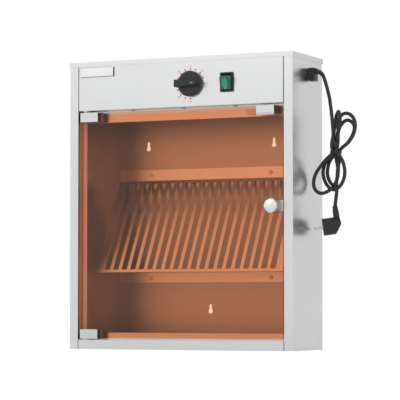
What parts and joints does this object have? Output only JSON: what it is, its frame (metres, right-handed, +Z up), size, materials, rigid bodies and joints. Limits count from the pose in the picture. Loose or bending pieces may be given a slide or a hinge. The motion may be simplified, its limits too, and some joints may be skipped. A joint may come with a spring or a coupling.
{
  "type": "uv sterilizer cabinet",
  "caption": "Wall-hung stainless cabinet with an amber glass door, germicidal lamp, timer, rocker switch, slotted tool rack and mains lead, for sterilizing barber tools.",
  "frame": {"origin": "centre of the cabinet's footprint between its side panels and between its front and rear planes, at the underside of the floor", "axes": "+X to the right seen from the front, +Y from the front to the wall, +Z up"},
  "size_m": [0.625, 0.1907, 0.615],
  "materials": {
    "stainless": "brushed",
    "satin_steel": "satin",
    "cast_zinc": "satin",
    "chrome": "polished",
    "amber_glass": "clear tinted",
    "quartz_glass": "clear",
    "black_plastic": "fine texture",
    "white_plastic": "smooth",
    "badge_white": "gloss",
    "index_white": "gloss",
    "green_plastic": "gloss translucent",
    "green_lens": "gloss translucent",
    "plated_steel": "zinc plated",
    "grey_steel": "satin",
    "rubber": "matt",
    "cord": "satin",
    "wire": "smooth"
  },
  "bodies": {
    "root": {"left_side_panel": "stainless", "right_side_panel": "stainless", "back_panel": "stainless", "bottom_panel": "stainless", "lid": "stainless", "lid_screws": "plated_steel", "control_panel": "stainless", "panel_screws": "plated_steel", "lamp_canopy": "stainless", "badge_plate": "badge_white", "tool_rack": "stainless", "rack_screws": "plated_steel", "uv_lamp_tube": "quartz_glass", "lamp_caps": "plated_steel", "lampholder_left": "white_plastic", "lampholder_right": "white_plastic", "ballast": "grey_steel", "ballast_screws": "plated_steel", "starter": "white_plastic", "starter_socket": "white_plastic", "terminal_block": "white_plastic", "timer_body": "plated_steel", "switch_bezel": "black_plastic", "hinge_top_bush": "white_plastic", "hinge_bottom_bush": "white_plastic", "magnetic_catch": "black_plastic", "catch_screws": "plated_steel", "door_sensor": "white_plastic", "gland_body": "black_plastic", "gland_nut": "black_plastic", "gland_screws": "plated_steel", "strain_relief": "rubber", "supply_lead": "cord", "wire_grommets": "rubber", "wires": "wire", "cord_drop": "cord", "cord_hank": "cord", "cord_tail": "cord", "plug_body": "black_plastic", "plug_pins": "plated_steel"},
    "door": {"door_glass": "amber_glass", "hinge_top_plate": "satin_steel", "hinge_top_body": "cast_zinc", "hinge_top_pin": "plated_steel", "hinge_bottom_plate": "satin_steel", "hinge_bottom_body": "cast_zinc", "hinge_bottom_pin": "plated_steel", "hinge_pads": "rubber", "hinge_screws": "plated_steel", "catch_plate": "satin_steel", "knob_clip": "satin_steel", "door_knob": "chrome", "knob_screw": "plated_steel"},
    "timer_dial": {"timer_shaft": "plated_steel", "timer_knob": "black_plastic", "timer_index": "index_white"},
    "rocker": {"switch_rocker": "green_plastic", "switch_lens": "green_lens"}
  },
  "joints": [
    {"name": "door_swing", "type": "hinge", "parent": "root", "child": "door", "pos_m": [-0.225, -0.0737, 0.264], "axis": [0, 0, -1], "range_deg": [0, 110]},
    {"name": "timer_turn", "type": "hinge", "parent": "root", "child": "timer_dial", "pos_m": [0.028, -0.08, 0.5575], "axis": [0, -1, 0], "range_deg": [0, 270]},
    {"name": "switch_rock", "type": "hinge", "parent": "root", "child": "rocker", "pos_m": [0.112, -0.076, 0.5575], "axis": [-1, 0, 0], "range_deg": [0, 26]}
  ]
}
